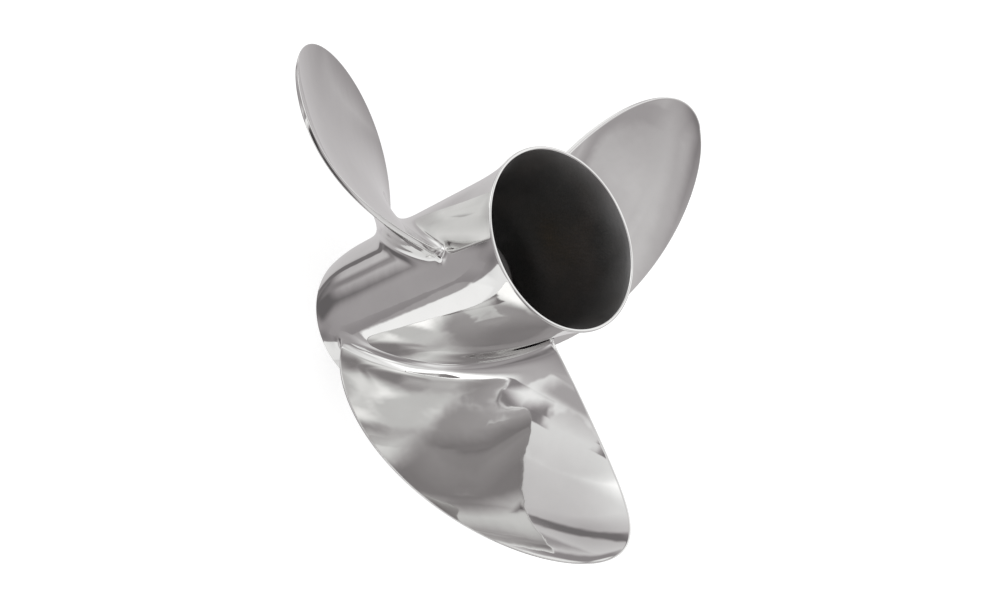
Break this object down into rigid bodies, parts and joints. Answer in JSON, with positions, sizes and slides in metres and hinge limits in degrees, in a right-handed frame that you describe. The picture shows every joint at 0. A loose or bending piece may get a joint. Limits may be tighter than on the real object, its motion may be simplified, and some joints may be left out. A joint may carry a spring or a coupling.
{
  "type": "boat propeller",
  "caption": "Right-handed boat propeller of polished steel: raked blades on a tapered barrel whose flared open end lets the exhaust out.",
  "frame": {"origin": "centre of the barrel's front end, on the shaft axis", "axes": "+Z along the shaft axis, pointing aft to the flared exhaust mouth; the middle of blade_1's root is at +X"},
  "size_m": [0.356, 0.3583, 0.2],
  "materials": {
    "polished_steel": "mirror polished stainless steel",
    "dark_casting": "dark unpolished cast surface",
    "sleeve_polymer": "moulded",
    "adapter_brass": "machined"
  },
  "bodies": {
    "root": {"hub_barrel": "polished_steel", "blade_1": "polished_steel", "blade_2": "polished_steel", "blade_3": "polished_steel", "inner_hub": "dark_casting", "rib_1": "dark_casting", "rib_2": "dark_casting", "rib_3": "dark_casting", "drive_sleeve": "sleeve_polymer", "splined_adapter": "adapter_brass"}
  },
  "joints": []
}
